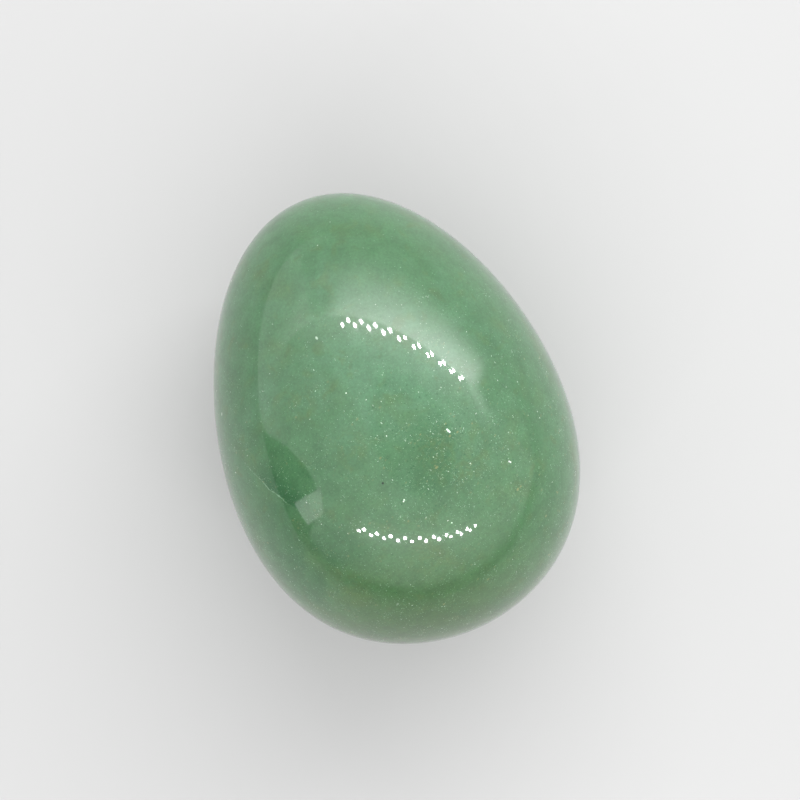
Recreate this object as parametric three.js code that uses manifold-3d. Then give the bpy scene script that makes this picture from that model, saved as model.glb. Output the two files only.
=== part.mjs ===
// A green aventurine palm stone: one piece of polished quartz, ground to an egg that fills the palm.
// It lies on its side, with its long axis along Y, the broad end towards -Y and the narrow end towards +Y.
// A small flat ground underneath keeps it from rolling. The flat lies at z = 0, and +Z is up.
// All sizes are in millimetres.

import * as THREE from "three";
import { mergeVertices } from "three/addons/utils/BufferGeometryUtils.js";
import Module from "manifold-3d";

// Driving dimensions
const LENGTH = 52; // from the tip of the narrow end to the crown of the broad end
const WIDTH = 39.5; // across the fullest ring, which is round
const FLAT_DEPTH = 0.65; // stone ground away under the fullest ring to make the resting flat

// How the egg differs from an ellipsoid, as shares of the ring's radius
const EGG_TAPER = 0.149; // the broad end is fuller and the narrow end slimmer by this much
const END_FULLNESS = 0.05; // both ends are blunter by this much

// How finely the polished surface is faceted
const RINGS = 44;
const RING_FACETS = 72;
const WELD = 1e-4; // points closer together than this are one point

const AVENTURINE_GREEN = 0x6f9f77;
const POLISH_ROUGHNESS = 0.06;

// The radius of the ring at a place along the axis, from -1 at the narrow tip to 1 at the broad crown.
// It is a share that still has to be scaled to the stone's width.
function ringShare(place) {
  const ellipse = Math.sqrt(Math.max(0, 1 - place * place));
  return ellipse * (1 + EGG_TAPER * place + END_FULLNESS * place * place);
}

// The places of the rings, close together at both ends, where the surface turns fastest.
function ringPlaces() {
  const places = [];
  for (let ring = 0; ring <= RINGS; ring += 1) {
    places.push(Math.cos((Math.PI * ring) / RINGS));
  }
  return places;
}

// Half of the egg's outline, from the broad crown at -Y to the narrow tip at +Y, both on the axis.
function eggOutline() {
  const places = ringPlaces();
  const fullest = Math.max(...places.map(ringShare));
  return places.map((place, index) => {
    const onAxis = index === 0 || index === RINGS;
    const radius = onAxis ? 0 : (ringShare(place) / fullest) * (WIDTH / 2);
    return new THREE.Vector2(radius, (-place * LENGTH) / 2);
  });
}

// The whole egg before the flat is ground, with its axis at the origin.
function eggGeometry() {
  return new THREE.LatheGeometry(eggOutline(), RING_FACETS);
}

// The block of stone that grinding takes away: everything lower than the flat.
function grindingGeometry() {
  const flatBelowAxis = WIDTH / 2 - FLAT_DEPTH;
  const block = new THREE.BoxGeometry(WIDTH, LENGTH, WIDTH);
  return block.translate(0, 0, -flatBelowAxis - WIDTH / 2);
}

// A closed solid made of a geometry's triangles, with its shared points joined.
function solidFrom(wasm, geometry) {
  const bare = geometry.clone();
  bare.deleteAttribute("normal");
  bare.deleteAttribute("uv");
  const welded = mergeVertices(bare, WELD);
  return new wasm.Manifold(
    new wasm.Mesh({
      numProp: 3,
      vertProperties: welded.attributes.position.array,
      triVerts: new Uint32Array(welded.index.array),
    }),
  );
}

// A geometry that can be drawn, made of a closed solid's triangles.
function geometryFrom(solid) {
  const { vertProperties, triVerts } = solid.getMesh();
  const geometry = new THREE.BufferGeometry();
  geometry.setAttribute("position", new THREE.BufferAttribute(vertProperties, 3));
  geometry.setIndex(new THREE.BufferAttribute(triVerts, 1));
  geometry.computeVertexNormals();
  return geometry;
}

function polishedAventurine() {
  return new THREE.MeshStandardMaterial({
    color: AVENTURINE_GREEN,
    roughness: POLISH_ROUGHNESS,
    metalness: 0,
  });
}

// The stone, raised so that its ground flat rests on z = 0.
function palmStone(wasm) {
  const ground = solidFrom(wasm, eggGeometry()).subtract(solidFrom(wasm, grindingGeometry()));
  const stone = new THREE.Mesh(geometryFrom(ground), polishedAventurine());
  stone.name = "palm_stone";
  stone.position.z = WIDTH / 2 - FLAT_DEPTH;
  return stone;
}

const wasm = await Module();
wasm.setup();

const part = new THREE.Group();
part.add(palmStone(wasm));

export default part;
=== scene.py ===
# %% [markdown]
# # A polished aventurine palm stone
#
# Aventurine is quartz with tiny flakes of mica in it. A palm stone is a piece of it, ground to a smooth
# egg and polished until it mirrors the lamps. This lesson dresses the measured solid of such a stone: it
# turns a finer egg, grinds the little flat it rests on, and then builds the green stone out of clouds,
# grains and flecks. Every length is in metres, as the frame is. Only the patterns inside the stone are
# laid out in millimetres.

# %% Load the frame
import math

import bmesh
import bpy
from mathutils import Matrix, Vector


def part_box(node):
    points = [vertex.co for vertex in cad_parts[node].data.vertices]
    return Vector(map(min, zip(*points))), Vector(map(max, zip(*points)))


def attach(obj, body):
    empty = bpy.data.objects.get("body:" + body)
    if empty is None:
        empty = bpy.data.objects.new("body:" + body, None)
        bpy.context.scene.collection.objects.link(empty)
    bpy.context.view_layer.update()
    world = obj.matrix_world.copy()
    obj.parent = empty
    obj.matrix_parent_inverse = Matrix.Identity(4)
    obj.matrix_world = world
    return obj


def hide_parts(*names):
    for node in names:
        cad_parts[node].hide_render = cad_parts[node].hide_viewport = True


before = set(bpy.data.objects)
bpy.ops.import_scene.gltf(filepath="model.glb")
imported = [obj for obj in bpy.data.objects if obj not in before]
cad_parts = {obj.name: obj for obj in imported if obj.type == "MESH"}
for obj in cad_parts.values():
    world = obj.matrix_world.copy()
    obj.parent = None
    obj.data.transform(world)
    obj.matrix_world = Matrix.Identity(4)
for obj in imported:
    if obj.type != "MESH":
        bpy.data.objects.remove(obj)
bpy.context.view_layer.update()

MM = 0.001

low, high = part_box("palm_stone")
half_length = (high.y - low.y) / 2
half_width = (high.x - low.x) / 2
axis_height = high.z - half_width
print(f"stone {2 * half_length / MM:.1f} mm long and {2 * half_width / MM:.1f} mm wide")
print(f"its axis lies {axis_height / MM:.2f} mm up")

# %% [markdown]
# ## The camera
#
# The photograph looks straight down on the stone from about a quarter of a metre away, and the stone lies
# turned in the picture, its narrow end up and to the left. A long lens keeps the near top from swelling.
# The picture's own right and up directions are worked out once, because the lamps are placed by them too.

# %% Place the camera
PICTURE_TURN = math.radians(-20.9)
CAMERA_DISTANCE = 240 * MM
VIEW_WIDTH = 90.3 * MM
VIEW_RIGHT = 1.49 * MM
VIEW_UP = 1.74 * MM
SENSOR_WIDTH = 36
NEAREST_SEEN = 10 * MM

picture_right = Vector((math.cos(PICTURE_TURN), math.sin(PICTURE_TURN), 0))
picture_up = Vector((-math.sin(PICTURE_TURN), math.cos(PICTURE_TURN), 0))
stone_middle = Vector((0, 0, axis_height))


def picture_place(right, up, height):
    """The place that is this far right, up and towards the camera from the middle of the stone."""
    return stone_middle + right * picture_right + up * picture_up + Vector((0, 0, height))


bpy.ops.object.camera_add(
    location=picture_place(VIEW_RIGHT, VIEW_UP, CAMERA_DISTANCE),
    rotation=(0, 0, PICTURE_TURN),
)
camera = bpy.context.object
camera.name = "camera"
camera.data.sensor_width = SENSOR_WIDTH
camera.data.lens = camera.data.sensor_width * CAMERA_DISTANCE / VIEW_WIDTH
camera.data.clip_start = NEAREST_SEEN
camera.data.dof.use_dof = False
bpy.context.scene.camera = camera
print(f"lens of {camera.data.lens:.1f} mm")

# %% [markdown]
# ## Turning the egg
#
# A stone like this is ground as a body of revolution, so the natural way to model it is a lathe. Half of
# its outline is drawn once: half a circle, squeezed to half an ellipse, and then each point is moved
# towards or away from the axis, which fills out the broad end and slims the narrow one. Spinning that line
# round the long axis gives a surface without a seam. A sphere pushed about by eye would never mirror the
# lamps as evenly.

# %% Draw half of the outline
OUTLINE_POINTS = 160
EGG_TAPER = 0.149
END_FULLNESS = 0.05
MEASURING_STEPS = 1000
BESIDE_AXIS = 0.01 * MM
SAME_POINT = 0.001 * MM


def fullness(place):
    """How much wider the egg is than an ellipse, from -1 at the narrow tip to 1 at the broad crown."""
    return 1 + EGG_TAPER * place + END_FULLNESS * place * place


def egg_share(place):
    """How wide the egg is there, before it is scaled to the stone's width."""
    return math.sqrt(1 - place * place) * fullness(place)


def select_where(wanted):
    """Selects the points for which wanted(place) is true, and returns how many there are."""
    bpy.ops.mesh.select_mode(type="VERT")
    bpy.ops.mesh.select_all(action="DESELECT")
    mesh = bmesh.from_edit_mesh(bpy.context.object.data)
    count = 0
    for point in mesh.verts:
        if wanted(point.co):
            point.select = True
            count += 1
    mesh.select_flush(True)
    bmesh.update_edit_mesh(bpy.context.object.data)
    return count


fullest = max(egg_share(step / MEASURING_STEPS) for step in range(MEASURING_STEPS))

bpy.ops.object.select_all(action="DESELECT")
bpy.ops.mesh.primitive_circle_add(
    vertices=2 * OUTLINE_POINTS,
    radius=half_length,
    fill_type="NOTHING",
    location=stone_middle,
)
stone = bpy.context.object
stone.name = "polished_stone"
bpy.ops.object.transform_apply(location=True, rotation=True, scale=True)

bpy.ops.object.mode_set(mode="EDIT")
select_where(lambda place: place.x < -BESIDE_AXIS)
bpy.ops.mesh.delete(type="VERT")
bpy.ops.mesh.select_all(action="SELECT")
bpy.ops.transform.resize(value=(half_width / half_length, 1, 1), center_override=stone_middle)

outline = [point.co.copy() for point in bmesh.from_edit_mesh(stone.data).verts]
for point in outline:
    select_where(lambda place: (place - point).length < SAME_POINT)
    bpy.ops.transform.resize(
        value=(fullness(-point.y / half_length) / fullest, 1, 1),
        center_override=(0, point.y, point.z),
    )
print(f"outline of {len(outline)} points")

# %% Spin it round the long axis
SPIN_STEPS = 240
WELD = 0.002 * MM

bpy.ops.mesh.select_all(action="SELECT")
bpy.ops.mesh.spin(steps=SPIN_STEPS, angle=math.tau, center=stone_middle, axis=(0, 1, 0))
bpy.ops.mesh.select_all(action="SELECT")
bpy.ops.mesh.remove_doubles(threshold=WELD)
bpy.ops.mesh.normals_make_consistent(inside=False)
bpy.ops.object.mode_set(mode="OBJECT")
print(f"egg of {len(stone.data.polygons)} faces")

# %% [markdown]
# ## The unevenness of grinding
#
# No stone ground by eye is a perfect body of revolution. The grinding wheel leaves it a tenth of a
# millimetre proud here and shy there, too little to see in the outline but enough to bend the mirrored
# lamps a little. A broad, shallow cloud pattern pushes the surface in and out by that much.

# %% Let the surface undulate
UNDULATION = 0.16 * MM
UNDULATION_BREADTH = 19 * MM

cloud = bpy.data.textures.new("grinding", type="CLOUDS")
cloud.noise_scale = UNDULATION_BREADTH
cloud.noise_depth = 0
grinding = stone.modifiers.new("grinding", "DISPLACE")
grinding.texture = cloud
grinding.texture_coords = "LOCAL"
grinding.strength = UNDULATION
grinding.mid_level = 0.5
bpy.ops.object.modifier_apply(modifier=grinding.name)
spread = [point.co.x for point in stone.data.vertices]
print(f"width after grinding {(max(spread) - min(spread)) / MM:.2f} mm")

# %% [markdown]
# ## The flat it rests on
#
# The stone would roll if a small flat weren't ground under it. Everything that reaches below the surface
# it stands on is pressed up to that surface, as a lap wheel would take it off, and the rim is then
# smoothed up and down only, because a polished rim is soft to the touch.

# %% Grind and soften the flat
RIM_BAND = 0.16 * MM
RIM_PASSES = 6
RIM_SOFTENING = 0.5

bpy.ops.object.mode_set(mode="EDIT")
points = bmesh.from_edit_mesh(stone.data).verts
rim = {point.index for point in points if abs(point.co.z) < RIM_BAND}
ground = select_where(lambda place: place.z < 0)
bpy.ops.transform.resize(value=(1, 1, 0), center_override=(0, 0, 0))
bpy.ops.mesh.select_all(action="DESELECT")
points = bmesh.from_edit_mesh(stone.data).verts
points.ensure_lookup_table()
for index in rim:
    points[index].select = True
bmesh.update_edit_mesh(stone.data)
bpy.ops.mesh.vertices_smooth(factor=RIM_SOFTENING, repeat=RIM_PASSES, xaxis=False, yaxis=False, zaxis=True)
bpy.ops.object.mode_set(mode="OBJECT")
bpy.ops.object.shade_smooth()
print(f"{ground} points ground flat, {len(rim)} smoothed at the rim")

# %% [markdown]
# ## Wiring materials
#
# A pattern in stone is easiest to read as a short row of named steps, so a few helpers add nodes. One
# fills a node's inputs with numbers or with other nodes' outputs, and the rest name the sums and patterns
# that come back often. A share is a number from 0 to 1, such as how much of a colour shows.

# %% Helpers for sums and colours
def put(tree, kind, inputs, **settings):
    """Adds a node, with its own settings, and fills its inputs with values or other nodes' outputs."""
    node = tree.nodes.new(kind)
    for setting, value in settings.items():
        setattr(node, setting, value)
    for socket, value in inputs.items():
        if isinstance(value, bpy.types.NodeSocket):
            tree.links.new(value, node.inputs[socket])
        else:
            node.inputs[socket].default_value = value
    return node


def sum_of(tree, operation, first, second=0.0, third=0.0):
    """One sum, such as ADD or POWER, on up to three numbers."""
    return put(tree, "ShaderNodeMath", {0: first, 1: second, 2: third}, operation=operation).outputs[0]


def product(tree, first, *others):
    """All of these numbers, multiplied together."""
    for other in others:
        first = sum_of(tree, "MULTIPLY", first, other)
    return first


def vector_sum(tree, operation, first, second):
    """One sum on two places or directions, such as ADD or DISTANCE."""
    node = put(tree, "ShaderNodeVectorMath", {0: first, 1: second}, operation=operation)
    gives_number = operation in ("DISTANCE", "DOT_PRODUCT")
    return node.outputs["Value" if gives_number else "Vector"]


def scaled(tree, vector, amount):
    """A place, or the brightness of a colour, made larger or smaller by a factor."""
    return put(tree, "ShaderNodeVectorMath", {0: vector, "Scale": amount}, operation="SCALE").outputs[0]


def rise(tree, value, start, end, from_share=0.0, to_share=1.0):
    """Goes smoothly from one share to another while value goes from start to end."""
    inputs = {
        "Value": value,
        "From Min": start,
        "From Max": end,
        "To Min": from_share,
        "To Max": to_share,
    }
    return put(tree, "ShaderNodeMapRange", inputs, interpolation_type="SMOOTHSTEP").outputs[0]


def fall(tree, value, start, end, from_share=1.0):
    """Goes smoothly from a share down to 0 while value goes from start to end."""
    return rise(tree, value, start, end, from_share, 0.0)


def tint(tree, share, under, over):
    """Lays one colour over another by a share."""
    node = put(tree, "ShaderNodeMix", {0: share, 6: under, 7: over}, data_type="RGBA")
    return node.outputs[2]


# %% Helpers for patterns
SMALLEST_GRAIN = 0.5
SHARP_CORE = 0.4
FAINTEST_GRAIN = 0.08


def clouds(tree, place, breadth, detail=2.0, warp=0.0, roughness=0.5):
    """Soft random clouds, of this breadth in millimetres, that go from 0 to 1."""
    inputs = {
        "Vector": place,
        "Scale": 1 / breadth,
        "Detail": detail,
        "Roughness": roughness,
        "Distortion": warp,
    }
    return put(tree, "ShaderNodeTexNoise", inputs).outputs[0]


def near(tree, place, centre, reach):
    """1 at a place in the stone, and down to 0 this many millimetres away from it."""
    return fall(tree, vector_sum(tree, "DISTANCE", place, centre), 0.0, reach)


def leaning(tree, place, rotation, slimness):
    """A place, turned and then squeezed, so that what is laid out in it comes out slim and leaning."""
    inputs = {"Vector": place, "Rotation": rotation, "Scale": (1.0, 1 / slimness, 1.0)}
    return put(tree, "ShaderNodeMapping", inputs, vector_type="TEXTURE").outputs[0]


def grains(tree, place, spacing, radius, share, rarity):
    """Grains scattered in the stone, most of them faint.

    Spacing and radius are in millimetres, share is how many of the places hold a grain, and the higher the
    rarity, the fewer of them are bright.
    """
    cells = put(tree, "ShaderNodeTexVoronoi", {"Vector": place, "Scale": 1 / spacing, "Randomness": 1.0})
    away = product(tree, cells.outputs["Distance"], spacing)
    chance = put(tree, "ShaderNodeSeparateColor", {"Color": cells.outputs["Color"]}).outputs
    reach = sum_of(tree, "MULTIPLY_ADD", chance[1], radius, SMALLEST_GRAIN * radius)
    spot = fall(tree, away, product(tree, reach, SHARP_CORE), reach)
    there = sum_of(tree, "LESS_THAN", chance[0], share)
    brightness = sum_of(tree, "POWER", chance[2], rarity)
    strength = sum_of(tree, "MULTIPLY_ADD", brightness, 1 - FAINTEST_GRAIN, FAINTEST_GRAIN)
    return product(tree, spot, there, strength)


# %% [markdown]
# ## Green aventurine
#
# Close to, the stone is not one green. Sea-green and leaf-green clouds drift through it, with an olive
# breath where iron has crept in, and the broad end is darker: partly its own moss green, partly painted
# shade over the lower rim. These are clouds inside the stone, so they are laid out in its own millimetres:
# a cloud pattern makes each one, and a distance from a place says where it gathers.

# %% Start the stone's material
stone_material = bpy.data.materials.new("green_aventurine")
stone_material.use_nodes = True
tree = stone_material.node_tree
tree.nodes.clear()

coordinates = put(tree, "ShaderNodeTexCoord", {}).outputs["Object"]
place = scaled(tree, coordinates, 1 / MM)

# %% Clouds of green
SEA_GREEN = (0.086, 0.200, 0.108, 1)
LEAF_GREEN = (0.066, 0.168, 0.076, 1)
DEEP_GREEN = (0.034, 0.118, 0.048, 1)
OLIVE = (0.084, 0.144, 0.048, 1)
MOSS_AND_PAINTED_SHADE = (0.036, 0.096, 0.024, 1)
HEART_OF_STONE = (2.0, 5.0, 37.6)
HEART_REACH = 22.0
HEART_PALENESS = 0.45
LEAF_SHARE = 0.80
BROAD_END = (-4.0, -25.0, 22.0)
OLIVE_REACH = 28.0
OLIVE_AT_BROAD_END = 0.70
MOSS_AND_SHADE_REACH = 22.0
MOSS_AND_SHADE_AT_BROAD_END = 0.80

heart = near(tree, place, HEART_OF_STONE, HEART_REACH)
drift = sum_of(tree, "MULTIPLY_ADD", heart, -HEART_PALENESS, LEAF_SHARE)
drift = sum_of(tree, "ADD", drift, clouds(tree, place, breadth=8.0, warp=0.6))
green = tint(tree, rise(tree, drift, 0.65, 1.25), SEA_GREEN, LEAF_GREEN)

olive_drift = product(tree, near(tree, place, BROAD_END, OLIVE_REACH), OLIVE_AT_BROAD_END)
olive_clouds = clouds(tree, place, breadth=4.5, detail=3.0, warp=0.4)
olive_breath = rise(tree, olive_clouds, 0.50, 0.75, to_share=0.30)
green = tint(tree, sum_of(tree, "ADD", olive_drift, olive_breath), green, OLIVE)

# Darker towards the broad end: the stone's own moss green, deepened further as painted shade over the
# lower rim.
mossy_and_shaded_end = near(tree, place, BROAD_END, MOSS_AND_SHADE_REACH)
green = tint(tree, rise(tree, mossy_and_shaded_end, 0.1, 0.8, to_share=MOSS_AND_SHADE_AT_BROAD_END), green, MOSS_AND_PAINTED_SHADE)

rust_clouds = clouds(tree, place, breadth=2.0, warp=0.4)
green = tint(tree, rise(tree, rust_clouds, 0.56, 0.74, to_share=0.35), green, OLIVE)

dark_clouds = clouds(tree, place, breadth=6.0, detail=3.0, warp=0.8)
green = tint(tree, rise(tree, dark_clouds, 0.50, 0.75, to_share=0.30), green, DEEP_GREEN)
print(f"clouds of green from {len(tree.nodes)} nodes")

# %% [markdown]
# ## The healed crack
#
# Long ago the quartz split at one side and grew together again. The old break is a sheet that leans into
# the stone, so it shows as one fine pale line where it reaches the surface, and the green is deeper on one
# side of it. A distance from a slightly wavy plane gives both the line and the side.

# %% The plane of the crack
CRACK_MIDDLE = (-14.6, -2.25, 32.23)
CRACK_NORMAL = Vector((0.495, 0.655, 0.565)).normalized()
CRACK_WANDER = 1.0

wander = clouds(tree, place, breadth=2.2, detail=5.0, roughness=0.68)
wander = sum_of(tree, "SUBTRACT", wander, 0.5)
from_middle = vector_sum(tree, "SUBTRACT", place, CRACK_MIDDLE)
side = vector_sum(tree, "DOT_PRODUCT", from_middle, CRACK_NORMAL)
side = sum_of(tree, "MULTIPLY_ADD", wander, CRACK_WANDER, side)
tilt = math.degrees(CRACK_NORMAL.angle(Vector((0, 0, 1))))
print(f"the crack is tilted by {tilt:.0f} degrees")

# %% The deeper green beside it
BESIDE_CRACK = (-13.0, -3.0, 33.8)
BESIDE_REACH = 6.0
BESIDE_BREADTH = 3.6
BESIDE_DEPTH = 0.95

beside = product(
    tree,
    rise(tree, side, -0.05, 0.20),
    fall(tree, side, 0.4, BESIDE_BREADTH, BESIDE_DEPTH),
    rise(tree, near(tree, place, BESIDE_CRACK, BESIDE_REACH), 0.1, 0.7),
)
print(f"the deeper green is {BESIDE_BREADTH} mm broad")

# %% [markdown]
# ## Deep and olive patches
#
# Some clouds can be told apart in the photograph: deeper green in the middle and towards the broad end,
# and curdled olive beside it. The two deep patches low at the left of the broad end are partly painted
# shade, darker than the stone's own green there. Each is one line of a list, with where it is, how far it
# reaches in millimetres and how strong it is. Ragged clouds break their edges, so that none of them looks
# like a disc.

# %% Patches
DEEP_AND_SHADED_PATCHES = (
    ((3.2, -7.6, 38.4), 6.5, 0.36),
    ((3.7, -3.5, 38.5), 4.5, 0.28),
    ((-9.3, -10.9, 35.7), 4.5, 0.35),
    # The last two, low at the left of the broad end, are partly painted shade.
    ((-15.0, -8.0, 31.5), 6.0, 0.35),
    ((-14.5, -13.0, 29.0), 7.0, 0.50),
)
OLIVE_PATCHES = (
    ((3.6, -5.3, 38.5), 3.4, 0.55),
    ((5.9, -8.2, 37.7), 4.2, 0.50),
    ((-4.7, -1.9, 38.2), 3.6, 0.35),
    ((-7.8, 4.8, 36.1), 3.6, 0.40),
    ((-9.9, -15.3, 33.4), 4.0, 0.45),
    ((-1.0, -15.6, 36.3), 4.2, 0.45),
)

ragged = clouds(tree, place, breadth=2.6, warp=0.4)
# Deepens the green in each patch; the two low on the broad end paint shade as well as deeper stone.
for centre, reach, depth in DEEP_AND_SHADED_PATCHES:
    patch = sum_of(tree, "ADD", near(tree, place, centre, reach), ragged)
    green = tint(tree, rise(tree, patch, 0.55, 1.35, to_share=depth), green, DEEP_GREEN)

curds = clouds(tree, place, breadth=0.9, detail=4.0, warp=0.6, roughness=0.65)
curdled = rise(tree, curds, 0.42, 0.62)
for centre, reach, depth in OLIVE_PATCHES:
    patch = product(tree, near(tree, place, centre, reach), curdled, depth)
    green = tint(tree, patch, green, OLIVE)

green = tint(tree, beside, green, DEEP_GREEN)
print(f"{len(DEEP_AND_SHADED_PATCHES)} deep and {len(OLIVE_PATCHES)} olive patches")

# %% [markdown]
# ## Sugary grain and wisps
#
# The quartz is a felt of tiny crystals, which gives the green a grain like sugar, and here and there a
# paler wisp is drawn out through it. All three patterns are factors on the brightness, close to 1, because
# a grain that changed the colour as well would look painted on.

# %% Grain
mottling = rise(tree, clouds(tree, place, breadth=1.8, detail=4.0, warp=0.3), 0.3, 0.7, 0.94, 1.07)
sugar = rise(tree, clouds(tree, place, breadth=0.30, roughness=0.8), 0.3, 0.7, 0.91, 1.09)
drawn_out = leaning(tree, place, rotation=(0.5, 0.3, 0.9), slimness=3.0)
wisps = rise(tree, clouds(tree, drawn_out, breadth=3.0, detail=3.0, warp=0.6), 0.52, 0.75, 1.0, 1.07)
green = scaled(tree, green, product(tree, mottling, sugar, wisps))
print(f"grain brings the material to {len(tree.nodes)} nodes")

# %% [markdown]
# ## Flecks of mica
#
# Mica is what makes the quartz aventurine. It hangs in the stone as thin flakes that lean a few common
# ways, so the pale dust and the small bright flecks are each scattered once for each leaning. They gather
# in flocks: densest in the middle of the stone and towards its broad end, thin towards the narrow end, and
# clumped everywhere. Where they gather lies in two shares, the flock and the finer crowd, which the murk,
# dust, gold and small bright flecks then use.

# %% Where the mica gathers
FLOCK_MIDDLE = (5.0, -5.5, 37.9)
FLOCK_REACH = 16.0
FLOCK_AT_NARROW_END = 0.08
FLOCK_AT_BROAD_END = 1.6

along_stone = put(tree, "ShaderNodeSeparateXYZ", {"Vector": place}).outputs["Y"]
flock = rise(tree, clouds(tree, place, breadth=3.5, warp=0.5), 0.35, 0.65, 0.18, 0.65)
flock = sum_of(tree, "MAXIMUM", flock, near(tree, place, FLOCK_MIDDLE, FLOCK_REACH))
flock = product(
    tree,
    flock,
    rise(tree, along_stone, 2.0, 17.0, 1.0, FLOCK_AT_NARROW_END),
    rise(tree, along_stone, -11.0, 0.0, FLOCK_AT_BROAD_END, 1.0),
)
flock = sum_of(tree, "MAXIMUM", flock, product(tree, beside, 0.8))

clump = rise(tree, clouds(tree, place, breadth=1.3, detail=3.0, warp=0.6), 0.48, 0.62, 0.08, 1.0)
crowd = sum_of(tree, "MAXIMUM", product(tree, flock, clump), product(tree, beside, 0.45))
print(f"the flock reaches {FLOCK_REACH:.0f} mm from its middle")

# %% [markdown]
# ## Dust, gold and bright flecks
#
# A flake has a torn edge, so the places that the flecks are laid out in are jittered by less than a tenth
# of a millimetre. Dark grains come first, as murk deep in the quartz, then pale dust, a little gold where
# iron colours the mica, and the few flakes that catch the light, whose glint is painted in near-white over
# the mica's own pale colour. A dark pinpoint here and there is some other mineral.

# %% Scatter the mica
PALE_MICA = (0.36, 0.56, 0.38, 1)
# The near-white mica colour is a painted glint: flakes that catch the light are painted brighter than
# their own pale colour.
MICA_WITH_PAINTED_GLINT = (0.80, 0.94, 0.80, 1)
GOLD_MICA = (0.21, 0.23, 0.10, 1)
PINPOINT = (0.008, 0.022, 0.012, 1)
RAGGEDNESS = 0.09
RAG_BREADTH = 0.22
MICA_LEANINGS = ((0.5, 0.2, 0.6), (0.3, -0.3, 2.0), (1.0, 0.2, -0.7))
MICA_SLIMNESS = 4.0

jitter = put(tree, "ShaderNodeTexNoise", {"Vector": place, "Scale": 1 / RAG_BREADTH, "Detail": 0.0})
jitter = scaled(tree, jitter.outputs["Color"], RAGGEDNESS)
ragged_place = vector_sum(tree, "ADD", place, jitter)

murk = grains(tree, ragged_place, spacing=0.36, radius=0.11, share=0.9, rarity=1.5)
murk = product(tree, murk, sum_of(tree, "MULTIPLY_ADD", flock, 0.6, 0.25))
green = tint(tree, murk, green, DEEP_GREEN)

dusting = product(tree, flock, rise(tree, clump, 0.0, 0.7, 0.45, 1.6))
for rotation in MICA_LEANINGS:
    lean = leaning(tree, ragged_place, rotation, MICA_SLIMNESS)
    dust = grains(tree, lean, spacing=0.29, radius=0.064, share=dusting, rarity=3.5)
    green = tint(tree, dust, green, PALE_MICA)

lean = leaning(tree, ragged_place, MICA_LEANINGS[0], slimness=1.6)
gold = grains(tree, lean, spacing=0.6, radius=0.18, share=0.40, rarity=1.0)
green = tint(tree, product(tree, gold, crowd), green, GOLD_MICA)

# The small bright flecks are painted glints of mica flakes that catch the light.
glint_speckling = product(tree, crowd, 0.75)
for rotation in MICA_LEANINGS:
    lean = leaning(tree, ragged_place, rotation, MICA_SLIMNESS)
    glint_specks = grains(tree, lean, spacing=0.66, radius=0.10, share=glint_speckling, rarity=3.2)
    green = tint(tree, glint_specks, green, MICA_WITH_PAINTED_GLINT)

# A few larger flakes, also painted glints.
lean = leaning(tree, ragged_place, rotation=(0.8, 0.4, 1.9), slimness=2.5)
large_flake_glints = grains(tree, lean, spacing=4.0, radius=0.24, share=0.20, rarity=1.0)
green = tint(tree, large_flake_glints, green, MICA_WITH_PAINTED_GLINT)

pinpoints = grains(tree, place, spacing=4.3, radius=0.15, share=0.10, rarity=1.0)
green = tint(tree, pinpoints, green, PINPOINT)
print(f"mica brings the material to {len(tree.nodes)} nodes")

# %% [markdown]
# ## The flakes that stand out most
#
# A few flakes are large enough to be seen in the photograph one by one, so each is put where it lies, as a
# near-white spot that is a painted glint. Two or three small spots in a row make one long flake. Heights
# count for only a fifth here, so that a spot that lies a little under or over the curved surface still
# shows at its full size.

# %% Place them one by one
FLAKE_GLINTS = (
    ((5.50, -3.52, 38.07), 0.15),
    ((5.57, -3.68, 38.05), 0.18),
    ((5.64, -3.84, 38.02), 0.15),
    ((10.44, -9.03, 35.44), 0.11),
    ((10.54, -9.16, 35.30), 0.13),
    ((-0.62, -1.89, 38.77), 0.09),
    ((-1.28, -8.74, 38.46), 0.12),
    ((-1.40, -8.88, 38.42), 0.11),
    ((-2.97, 3.77, 37.78), 0.11),
    ((2.49, -12.79, 37.37), 0.10),
)
DARK_PINPOINT = (-2.73, -6.33, 38.58)
DARK_PINPOINT_REACH = 0.18
HEIGHT_COUNTS_FOR = 0.2

seen_flat = vector_sum(tree, "MULTIPLY", place, (1, 1, HEIGHT_COUNTS_FOR))


def spot_at(centre, reach):
    """1 at a place in the stone, with heights counting for less, and down to 0 at its reach."""
    aside, across, up = centre
    return near(tree, seen_flat, (aside, across, up * HEIGHT_COUNTS_FOR), reach)


# Each listed flake is painted as a near-white glint.
for centre, reach in FLAKE_GLINTS:
    green = tint(tree, rise(tree, spot_at(centre, reach), 0.0, 0.6), green, MICA_WITH_PAINTED_GLINT)
dark_spot = rise(tree, spot_at(DARK_PINPOINT, DARK_PINPOINT_REACH), 0.0, 0.5)
green = tint(tree, dark_spot, green, PINPOINT)
print(f"{len(FLAKE_GLINTS)} bright spots placed")

# %% [markdown]
# ## The line of the crack
#
# The crack's own line comes last, over everything, because it reaches the surface. It is a row of pale
# beads rather than a stroke: the mica that closed it lies in patches, so the line comes and goes along its
# length.

# %% Draw the line
CRACK_REACH = 5.2
CRACK_WIDTH = 0.085

beads = rise(tree, clouds(tree, place, breadth=0.6, detail=3.0, roughness=0.7), 0.38, 0.62, 0.02, 0.42)
line = product(
    tree,
    fall(tree, sum_of(tree, "ABSOLUTE", side), 0.2 * CRACK_WIDTH, CRACK_WIDTH),
    rise(tree, near(tree, place, CRACK_MIDDLE, CRACK_REACH), 0.05, 0.35),
    beads,
)
green = tint(tree, line, green, PALE_MICA)
print(f"a line of at most {2 * CRACK_REACH:.1f} mm")

# %% [markdown]
# ## The polish
#
# Light goes a little way into the quartz before it comes back, so the colour is scattered under the
# surface, and green light travels furthest. The polish over it is a thin, sharp mirror that is duller in
# some places than in others. The finest scratches of the last polishing add a faint bloom round each
# bright reflection, which is a second, much rougher coat at a quarter of the strength.

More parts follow.
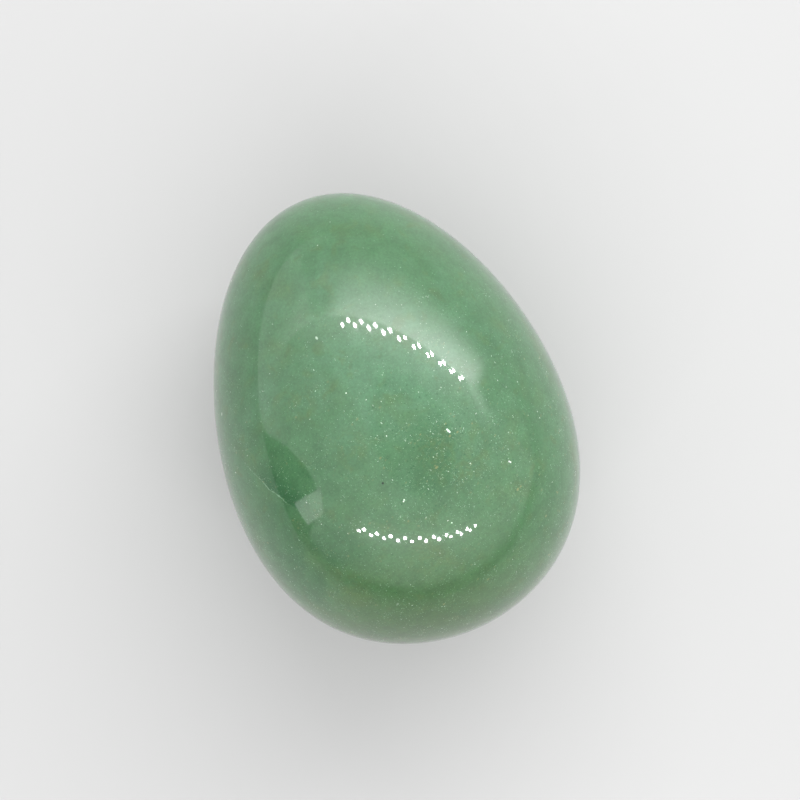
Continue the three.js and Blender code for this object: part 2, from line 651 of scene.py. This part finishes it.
# %% Polish, and how far light goes in
QUARTZ_IOR = 1.544
LIGHT_DEPTH = 2.0 * MM
LIGHT_SPREAD = (0.8, 1.5, 0.9)
POLISH = 0.03
HAZE = 0.03
RIPPLE_HEIGHT = 0.0002 * MM
BLOOM = 0.25
BLOOM_ROUGHNESS = 0.28

ripple = put(
    tree,
    "ShaderNodeBump",
    {"Strength": 1.0, "Distance": RIPPLE_HEIGHT, "Height": clouds(tree, place, breadth=3.0)},
)
dullness = clouds(tree, place, breadth=4.0, detail=4.0, warp=0.8)
surface = put(
    tree,
    "ShaderNodeBsdfPrincipled",
    {
        "Base Color": green,
        "Roughness": rise(tree, dullness, 0.35, 0.75, POLISH, POLISH + HAZE),
        "IOR": QUARTZ_IOR,
        "Subsurface Weight": 1.0,
        "Subsurface Radius": LIGHT_SPREAD,
        "Subsurface Scale": LIGHT_DEPTH,
        "Coat Weight": BLOOM,
        "Coat Roughness": BLOOM_ROUGHNESS,
        "Coat IOR": QUARTZ_IOR,
        "Normal": ripple.outputs["Normal"],
    },
)
put(tree, "ShaderNodeOutputMaterial", {"Surface": surface.outputs[0]})

stone.data.materials.clear()
stone.data.materials.append(stone_material)
print(f"aventurine of {len(tree.nodes)} nodes")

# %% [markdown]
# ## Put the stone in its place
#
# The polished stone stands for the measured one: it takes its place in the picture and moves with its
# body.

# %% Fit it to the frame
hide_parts("palm_stone")
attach(stone, "root")
print(f"{stone.name} takes its place")

# %% [markdown]
# ## The floor
#
# The floor is plain paper, large enough to reach past every view. The polish mirrors it all round the
# lower half of the stone, so its tone is a middling pale grey, which keeps that rim from going white.

# %% Lay the floor
FLOOR_SIZE = 4.0
PAPER_GREY = (0.45, 0.45, 0.45, 1)
PAPER_ROUGHNESS = 0.8

bpy.ops.object.select_all(action="DESELECT")
bpy.ops.mesh.primitive_plane_add(size=FLOOR_SIZE, location=(0, 0, 0))
floor = bpy.context.object
floor.name = "floor"
floor_material = bpy.data.materials.new("pale_paper")
floor_material.use_nodes = True
paper = floor_material.node_tree.nodes["Principled BSDF"]
paper.inputs["Base Color"].default_value = PAPER_GREY
paper.inputs["Roughness"].default_value = PAPER_ROUGHNESS
floor.data.materials.append(floor_material)
print(f"floor {FLOOR_SIZE:.0f} m wide")

# %% [markdown]
# ## A white tent
#
# The stone is photographed in a small white tent, and the polish mirrors all of it, so the tent is built
# as a sky. Each direction is told by where it meets a flat ceiling: how far to the picture's right and how
# far to its back it has gone when it has gone one step up. Walls are then simply places far out on that
# ceiling, and every edge in the tent is one smooth step in those two numbers.

# %% Directions in the tent
LOWEST_SEEN = 0.02

world = bpy.data.worlds.new("tent")
bpy.context.scene.world = world
world.use_nodes = True
sky = world.node_tree
sky.nodes.clear()
direction = put(sky, "ShaderNodeTexCoord", {}).outputs["Generated"]


def towards(way):
    """How far a direction goes this way."""
    return vector_sum(sky, "DOT_PRODUCT", direction, way)


steepness = sum_of(sky, "MAXIMUM", towards((0, 0, 1)), LOWEST_SEEN)
to_right = sum_of(sky, "DIVIDE", towards(picture_right), steepness)
to_back = sum_of(sky, "DIVIDE", towards(picture_up), steepness)
print(f"directions from {len(sky.nodes)} nodes")

# %% [markdown]
# ## Ceiling and walls
#
# The ceiling is the brightest cloth, and the tent gets darker towards its open front. A band on the left
# of the ceiling is a little dimmer in front than at the back, and the back wall, which ends in a slanting
# corner, is dimmer than the ceiling too. Those two edges are the pale outlines that the polish shows at
# the upper left.

# %% Ceiling and walls
CEILING_LIGHT = 1.25
FRONT_LIGHT = 0.35
LEFT_DIMMING = -0.22
BACK_WALL_SHARE = 0.72
CORNER_SLANT = 0.65

walls = rise(sky, to_back, -6.5, -1.0, FRONT_LIGHT, CEILING_LIGHT)
left_ceiling = product(
    sky,
    fall(sky, to_right, -1.0, 0.0),
    rise(sky, to_right, -4.5, -3.0),
    fall(sky, to_back, 0.6, 1.0, LEFT_DIMMING),
)
walls = sum_of(sky, "ADD", walls, left_ceiling)

from_corner = sum_of(sky, "MULTIPLY_ADD", to_back, CORNER_SLANT, to_right)
back_wall = product(sky, rise(sky, from_corner, -0.52, -0.38), rise(sky, to_back, 0.85, 1.05))
walls = product(sky, walls, rise(sky, back_wall, 0.0, 1.0, 1.0, BACK_WALL_SHARE))
print(f"ceiling light {CEILING_LIGHT}, and {FRONT_LIGHT} at the open front")

# %% [markdown]
# ## The dark opening and its pale gap
#
# At the lower left the cloth is open, and it is dark out there. The opening is low and rounded like the
# mouth of a cave, which the curved stone mirrors as the dark patch with a round top. In it stands a pale
# four-sided gap, where something bright outside shows. Both are told by how far a direction goes aside
# from the middle of the opening and how steeply it goes up.

# %% The opening
DOOR_LIGHT = 0.12
DOOR_ANGLE = math.radians(-159)
DOOR_HALF_WIDTH = 0.26
DOOR_HEIGHT = 0.485

door_way = math.cos(DOOR_ANGLE) * picture_right + math.sin(DOOR_ANGLE) * picture_up
door_aside = towards(-door_way.cross(Vector((0, 0, 1))))
faces_door = sum_of(sky, "GREATER_THAN", towards(door_way), 0.0)

door_across = sum_of(sky, "ABSOLUTE", sum_of(sky, "DIVIDE", door_aside, DOOR_HALF_WIDTH))
door_up = sum_of(sky, "DIVIDE", steepness, DOOR_HEIGHT)
door_round = sum_of(sky, "POWER", door_across, 2.0)
door_round = sum_of(sky, "ADD", door_round, sum_of(sky, "POWER", door_up, 2.0))
door = product(sky, fall(sky, door_round, 0.9, 1.15), faces_door)
walls = sum_of(sky, "ADD", walls, product(sky, door, DOOR_LIGHT - CEILING_LIGHT))
walls = sum_of(sky, "MAXIMUM", walls, DOOR_LIGHT)
print(f"the opening is {math.degrees(math.asin(DOOR_HEIGHT)):.0f} degrees high")

# %% The gap in it
GAP_LIGHT = 2.2
GAP_LEAN = 0.07
GAP_SILL_SLOPE = -0.26
GAP_TOP_SLOPE = 0.55

gap_side = sum_of(sky, "MULTIPLY_ADD", steepness, GAP_LEAN, door_aside)
gap_sill = sum_of(sky, "MULTIPLY_ADD", door_aside, GAP_SILL_SLOPE, steepness)
gap_top = sum_of(sky, "MULTIPLY_ADD", door_aside, GAP_TOP_SLOPE, steepness)
gap = product(
    sky,
    rise(sky, gap_side, 0.070, 0.085),
    fall(sky, gap_side, 0.215, 0.235),
    rise(sky, gap_sill, 0.125, 0.155),
    fall(sky, gap_top, 0.545, 0.575),
    faces_door,
)
walls = sum_of(sky, "MULTIPLY_ADD", sum_of(sky, "SUBTRACT", GAP_LIGHT, walls), gap, walls)
print(f"the gap is {GAP_LIGHT / DOOR_LIGHT:.0f} times as bright as the opening")

# %% [markdown]
# ## The hole that the camera looks through
#
# Straight above the stone the ceiling has an oval hole for the lens. The stone mirrors it as a slightly
# darker oval in its middle, where the deeper greens of the stone show best.

# %% The hole in the ceiling
HOLE_LIGHT = 0.84

hole_right = sum_of(sky, "MULTIPLY_ADD", to_right, 2.0, -0.4)
hole_back = sum_of(sky, "MULTIPLY_ADD", to_back, 2.1, -0.25)
hole = sum_of(sky, "ADD", sum_of(sky, "POWER", hole_right, 2.0), sum_of(sky, "POWER", hole_back, 2.0))
hole_step = rise(sky, hole, 0.8, 1.1, HOLE_LIGHT - CEILING_LIGHT, 0.0)
walls = sum_of(sky, "ADD", walls, hole_step)
print(f"the hole is {CEILING_LIGHT - HOLE_LIGHT:.2f} darker than the ceiling")

# %% [markdown]
# ## Glows
#
# The lamps light the cloth behind them. The widest glow starts at the upper bar and fades out over the
# back of the tent, with a slanting edge and a notch cut into it; a narrow one lies in the right corner,
# and a strip of ceiling in front of the bar catches some light as well. They overlap, so the brightest one
# counts.

# %% Glow at the back
BACK_GLOW = 4.5
BACK_GLOW_SPREAD = 3.5
BACK_EDGE_SLOPE = 0.72
FADES_OUTWARDS_IN = 1.9
FADES_PAST_EDGE_IN = 1.3
NOTCH = (-1.0, 1.4, 0.0)

ceiling_place = put(sky, "ShaderNodeCombineXYZ", {"X": to_right, "Y": to_back}).outputs[0]
outwards = put(sky, "ShaderNodeVectorMath", {0: ceiling_place}, operation="LENGTH").outputs["Value"]
past_edge = sum_of(sky, "MULTIPLY_ADD", to_right, -BACK_EDGE_SLOPE, to_back)
fading = sum_of(sky, "DIVIDE", past_edge, FADES_PAST_EDGE_IN)
fading = sum_of(sky, "MULTIPLY_ADD", outwards, 1 / FADES_OUTWARDS_IN, fading)
back = sum_of(sky, "EXPONENT", product(sky, fading, -1.0))
back = sum_of(sky, "MINIMUM", product(sky, back, BACK_GLOW_SPREAD * BACK_GLOW), BACK_GLOW)
back = product(
    sky,
    back,
    rise(sky, vector_sum(sky, "DISTANCE", ceiling_place, NOTCH), 0.1, 0.7, 0.2, 1.0),
    rise(sky, to_back, 0.97, 1.03),
    rise(sky, past_edge, -0.35, 0.05),
)
print(f"a glow of up to {BACK_GLOW} at the back")

# %% Glow in the corner and on the ceiling
CORNER_GLOW = 2.2
CEILING_GLOW = 1.0

corner = product(
    sky,
    rise(sky, to_right, 1.30, 1.45),
    fall(sky, to_right, 1.5, 2.2, CORNER_GLOW),
    rise(sky, to_back, 0.35, 1.1),
    fall(sky, to_back, 1.2, 2.2),
)
lit_ceiling = product(
    sky,
    rise(sky, to_back, 0.45, 1.0),
    fall(sky, to_back, 1.0, 1.05, CEILING_GLOW),
    rise(sky, to_right, -1.8, -0.6),
    fall(sky, to_right, 1.2, 1.8),
)
glow = sum_of(sky, "MAXIMUM", sum_of(sky, "MAXIMUM", back, corner), lit_ceiling)
print(f"glows of {CORNER_GLOW} in the corner and {CEILING_GLOW} on the ceiling")

# %% Light the tent
light = sum_of(sky, "ADD", walls, glow)
background = put(sky, "ShaderNodeBackground", {"Color": (1, 1, 1, 1), "Strength": light})
put(sky, "ShaderNodeOutputWorld", {"Surface": background.outputs[0]})
print(f"tent of {len(sky.nodes)} nodes")

# %% [markdown]
# ## Bars of lamps
#
# Two bars run along the ceiling of the tent, one towards its back and one towards its front. Each holds
# two rows of small round lamps, and the second row is shifted by half a step. The stone mirrors them as
# two curved rows of bright dots, so each lamp is one of its own rather than a strip of light.

# %% Hang the lamps
LAMPS_IN_ROW = 10
LAMP_POWER = 0.014
BAR_HEIGHT = 180 * MM
ROW_SIDES = (-0.5, 0.5)


def lamp(place, name, size):
    """A small round lamp that faces the stone."""
    bpy.ops.object.light_add(type="AREA", location=place)
    light = bpy.context.object
    light.name = name
    light.data.shape = "DISK"
    light.data.size = size
    light.data.energy = LAMP_POWER
    light.rotation_euler = (stone_middle - place).to_track_quat("-Z", "Y").to_euler()


def lamp_bar(name, right, up, pitch, stagger, row_gap, size):
    """Two rows of lamps along the picture's width, one on each side of the bar and staggered."""
    for row, row_side in enumerate(ROW_SIDES):
        for count in range(LAMPS_IN_ROW):
            along = right + (count - (LAMPS_IN_ROW - 1) / 2) * pitch + row_side * stagger
            place = picture_place(along, up + row_side * row_gap, BAR_HEIGHT)
            lamp(place, f"{name}_{row}_{count}", size)


lamp_bar(
    "upper_bar",
    right=67 * MM,
    up=160.5 * MM,
    pitch=32.0 * MM,
    stagger=16 * MM,
    row_gap=10 * MM,
    size=7.4 * MM,
)
lamp_bar(
    "lower_bar",
    right=38.5 * MM,
    up=-168.5 * MM,
    pitch=34.2 * MM,
    stagger=-18 * MM,
    row_gap=-11 * MM,
    size=8.2 * MM,
)
print(f"{2 * len(ROW_SIDES) * LAMPS_IN_ROW} lamps")

# %% [markdown]
# ## Colours
#
# Colours are shown as they are, without a film look, because the greens were matched to the photograph
# that way.

# %% Colour of the picture
bpy.context.scene.view_settings.view_transform = "Standard"
